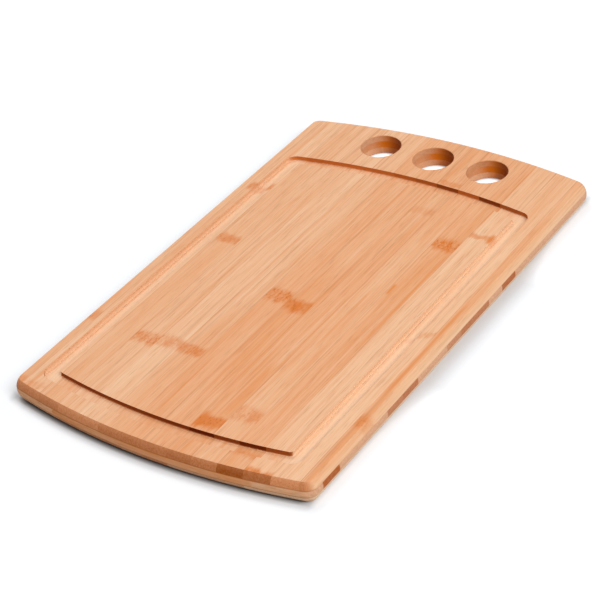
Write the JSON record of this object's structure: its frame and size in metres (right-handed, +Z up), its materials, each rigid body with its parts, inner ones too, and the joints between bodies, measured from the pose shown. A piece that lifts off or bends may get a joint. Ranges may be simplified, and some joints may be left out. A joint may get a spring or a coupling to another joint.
{
  "type": "bamboo cutting board",
  "caption": "Flat bamboo cutting board of crossed glued strips, with bowed ends, a rounded edge, a juice groove round the working face and a row of round finger holes.",
  "frame": {"origin": "on the supporting surface, under the middle of the board", "axes": "+X across the board to the right of someone facing the row of holes, +Y along the board towards the holes, +Z up out of the working face"},
  "size_m": [0.231, 0.38, 0.015],
  "materials": {
    "top_bamboo": "satin",
    "core_bamboo": "satin",
    "bottom_bamboo": "satin"
  },
  "bodies": {
    "root": {"bottom_strip_01": "bottom_bamboo", "bottom_strip_02": "bottom_bamboo", "bottom_strip_03": "bottom_bamboo", "bottom_strip_04": "bottom_bamboo", "bottom_strip_05": "bottom_bamboo", "bottom_strip_05_2": "bottom_bamboo", "bottom_strip_06": "bottom_bamboo", "bottom_strip_07": "bottom_bamboo", "bottom_strip_08": "bottom_bamboo", "bottom_strip_09": "bottom_bamboo", "bottom_strip_10": "bottom_bamboo", "bottom_strip_10_2": "bottom_bamboo", "bottom_strip_11": "bottom_bamboo", "bottom_strip_12": "bottom_bamboo", "bottom_strip_13": "bottom_bamboo", "bottom_strip_14": "bottom_bamboo", "core_strip_01": "core_bamboo", "core_strip_02": "core_bamboo", "core_strip_03": "core_bamboo", "core_strip_04": "core_bamboo", "core_strip_05": "core_bamboo", "core_strip_06": "core_bamboo", "core_strip_07": "core_bamboo", "core_strip_08": "core_bamboo", "core_strip_09": "core_bamboo", "core_strip_10": "core_bamboo", "core_strip_11": "core_bamboo", "core_strip_12": "core_bamboo", "core_strip_13": "core_bamboo", "core_strip_14": "core_bamboo", "core_strip_15": "core_bamboo", "core_strip_16": "core_bamboo", "core_strip_17": "core_bamboo", "core_strip_18": "core_bamboo", "core_strip_19": "core_bamboo", "core_strip_20": "core_bamboo", "core_strip_21": "core_bamboo", "core_strip_21_2": "core_bamboo", "core_strip_21_3": "core_bamboo", "core_strip_21_4": "core_bamboo", "core_strip_22": "core_bamboo", "top_strip_01": "top_bamboo", "top_strip_02": "top_bamboo", "top_strip_03": "top_bamboo", "top_strip_04": "top_bamboo", "top_strip_05": "top_bamboo", "top_strip_05_2": "top_bamboo", "top_strip_06": "top_bamboo", "top_strip_07": "top_bamboo", "top_strip_08": "top_bamboo", "top_strip_09": "top_bamboo", "top_strip_10": "top_bamboo", "top_strip_10_2": "top_bamboo", "top_strip_11": "top_bamboo", "top_strip_12": "top_bamboo", "top_strip_13": "top_bamboo", "top_strip_14": "top_bamboo"}
  },
  "joints": []
}
